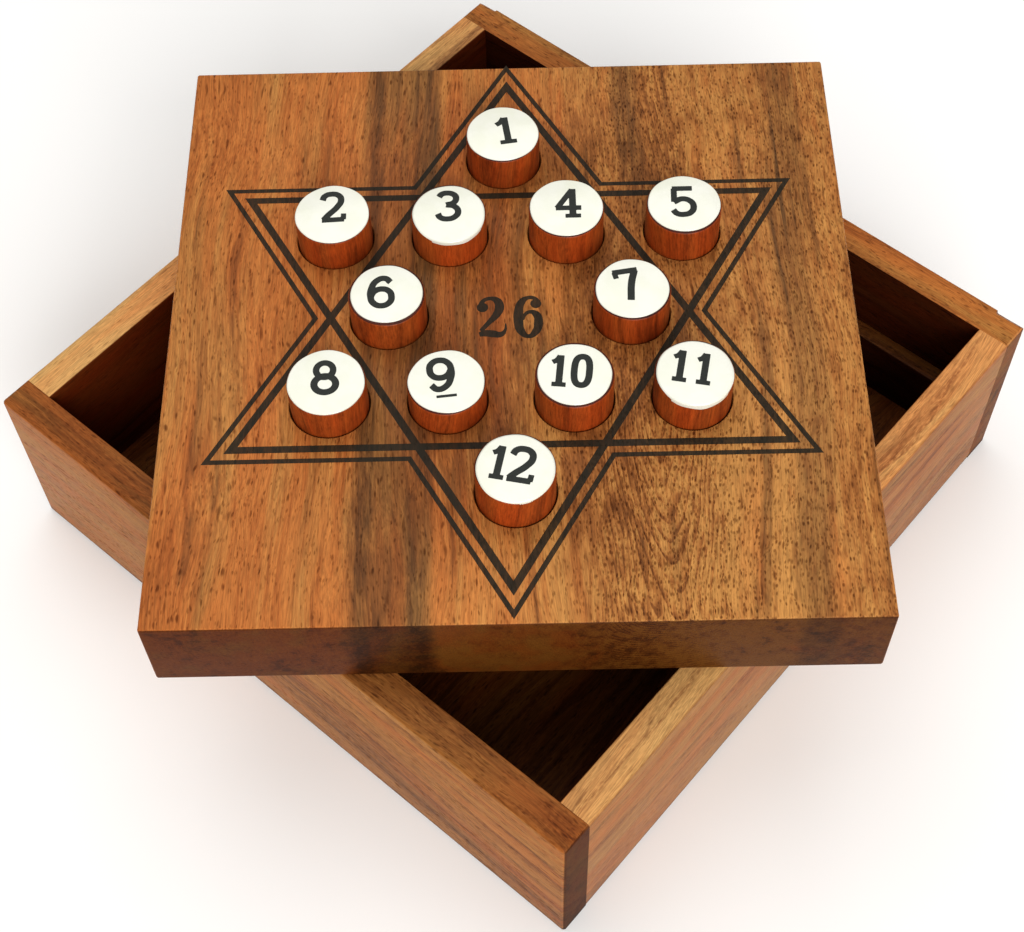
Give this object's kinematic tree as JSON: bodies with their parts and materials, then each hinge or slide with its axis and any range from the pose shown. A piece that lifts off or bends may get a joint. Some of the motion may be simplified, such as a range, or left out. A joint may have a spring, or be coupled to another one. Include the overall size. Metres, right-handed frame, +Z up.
{
  "type": "wooden number puzzle box",
  "caption": "Square wooden box with a thick lid lying turned across its rim; the lid is a pegboard with a printed six-pointed star and numbered enamel-topped pegs.",
  "frame": {"origin": "centre of the box's flat underside", "axes": "+Z up; X along the two full-length walls, +X towards the right wall; Y along the two short walls, +Y towards the rear wall; the lid lies turned about Z on the rim"},
  "size_m": [0.1774, 0.1774, 0.0658],
  "materials": {
    "full_wall_wood": "satin",
    "short_wall_wood": "satin",
    "bottom_wood": "matte",
    "ledge_wood": "matte",
    "lid_wood": "satin",
    "peg_wood": "satin"
  },
  "bodies": {
    "box": {"front_wall": "full_wall_wood", "rear_wall": "full_wall_wood", "right_wall": "short_wall_wood", "left_wall": "short_wall_wood", "bottom_panel": "bottom_wood", "front_ledge": "ledge_wood", "rear_ledge": "ledge_wood"},
    "lid": {"lid": "lid_wood"},
    "peg_1": {"peg_1": "peg_wood"},
    "peg_2": {"peg_2": "peg_wood"},
    "peg_3": {"peg_3": "peg_wood"},
    "peg_4": {"peg_4": "peg_wood"},
    "peg_5": {"peg_5": "peg_wood"},
    "peg_6": {"peg_6": "peg_wood"},
    "peg_7": {"peg_7": "peg_wood"},
    "peg_8": {"peg_8": "peg_wood"},
    "peg_9": {"peg_9": "peg_wood"},
    "peg_10": {"peg_10": "peg_wood"},
    "peg_11": {"peg_11": "peg_wood"},
    "peg_12": {"peg_12": "peg_wood"}
  },
  "joints": [
    {"name": "lid_lift", "type": "slide", "parent": "box", "child": "lid", "axis": [0, 0, 1], "range_m": [0, 0.06]},
    {"name": "peg_1_pull", "type": "slide", "parent": "lid", "child": "peg_1", "axis": [0, 0, 1], "range_m": [0, 0.016]},
    {"name": "peg_2_pull", "type": "slide", "parent": "lid", "child": "peg_2", "axis": [0, 0, 1], "range_m": [0, 0.016]},
    {"name": "peg_3_pull", "type": "slide", "parent": "lid", "child": "peg_3", "axis": [0, 0, 1], "range_m": [0, 0.016]},
    {"name": "peg_4_pull", "type": "slide", "parent": "lid", "child": "peg_4", "axis": [0, 0, 1], "range_m": [0, 0.016]},
    {"name": "peg_5_pull", "type": "slide", "parent": "lid", "child": "peg_5", "axis": [0, 0, 1], "range_m": [0, 0.016]},
    {"name": "peg_6_pull", "type": "slide", "parent": "lid", "child": "peg_6", "axis": [0, 0, 1], "range_m": [0, 0.016]},
    {"name": "peg_7_pull", "type": "slide", "parent": "lid", "child": "peg_7", "axis": [0, 0, 1], "range_m": [0, 0.016]},
    {"name": "peg_8_pull", "type": "slide", "parent": "lid", "child": "peg_8", "axis": [0, 0, 1], "range_m": [0, 0.016]},
    {"name": "peg_9_pull", "type": "slide", "parent": "lid", "child": "peg_9", "axis": [0, 0, 1], "range_m": [0, 0.016]},
    {"name": "peg_10_pull", "type": "slide", "parent": "lid", "child": "peg_10", "axis": [0, 0, 1], "range_m": [0, 0.016]},
    {"name": "peg_11_pull", "type": "slide", "parent": "lid", "child": "peg_11", "axis": [0, 0, 1], "range_m": [0, 0.016]},
    {"name": "peg_12_pull", "type": "slide", "parent": "lid", "child": "peg_12", "axis": [0, 0, 1], "range_m": [0, 0.016]}
  ]
}
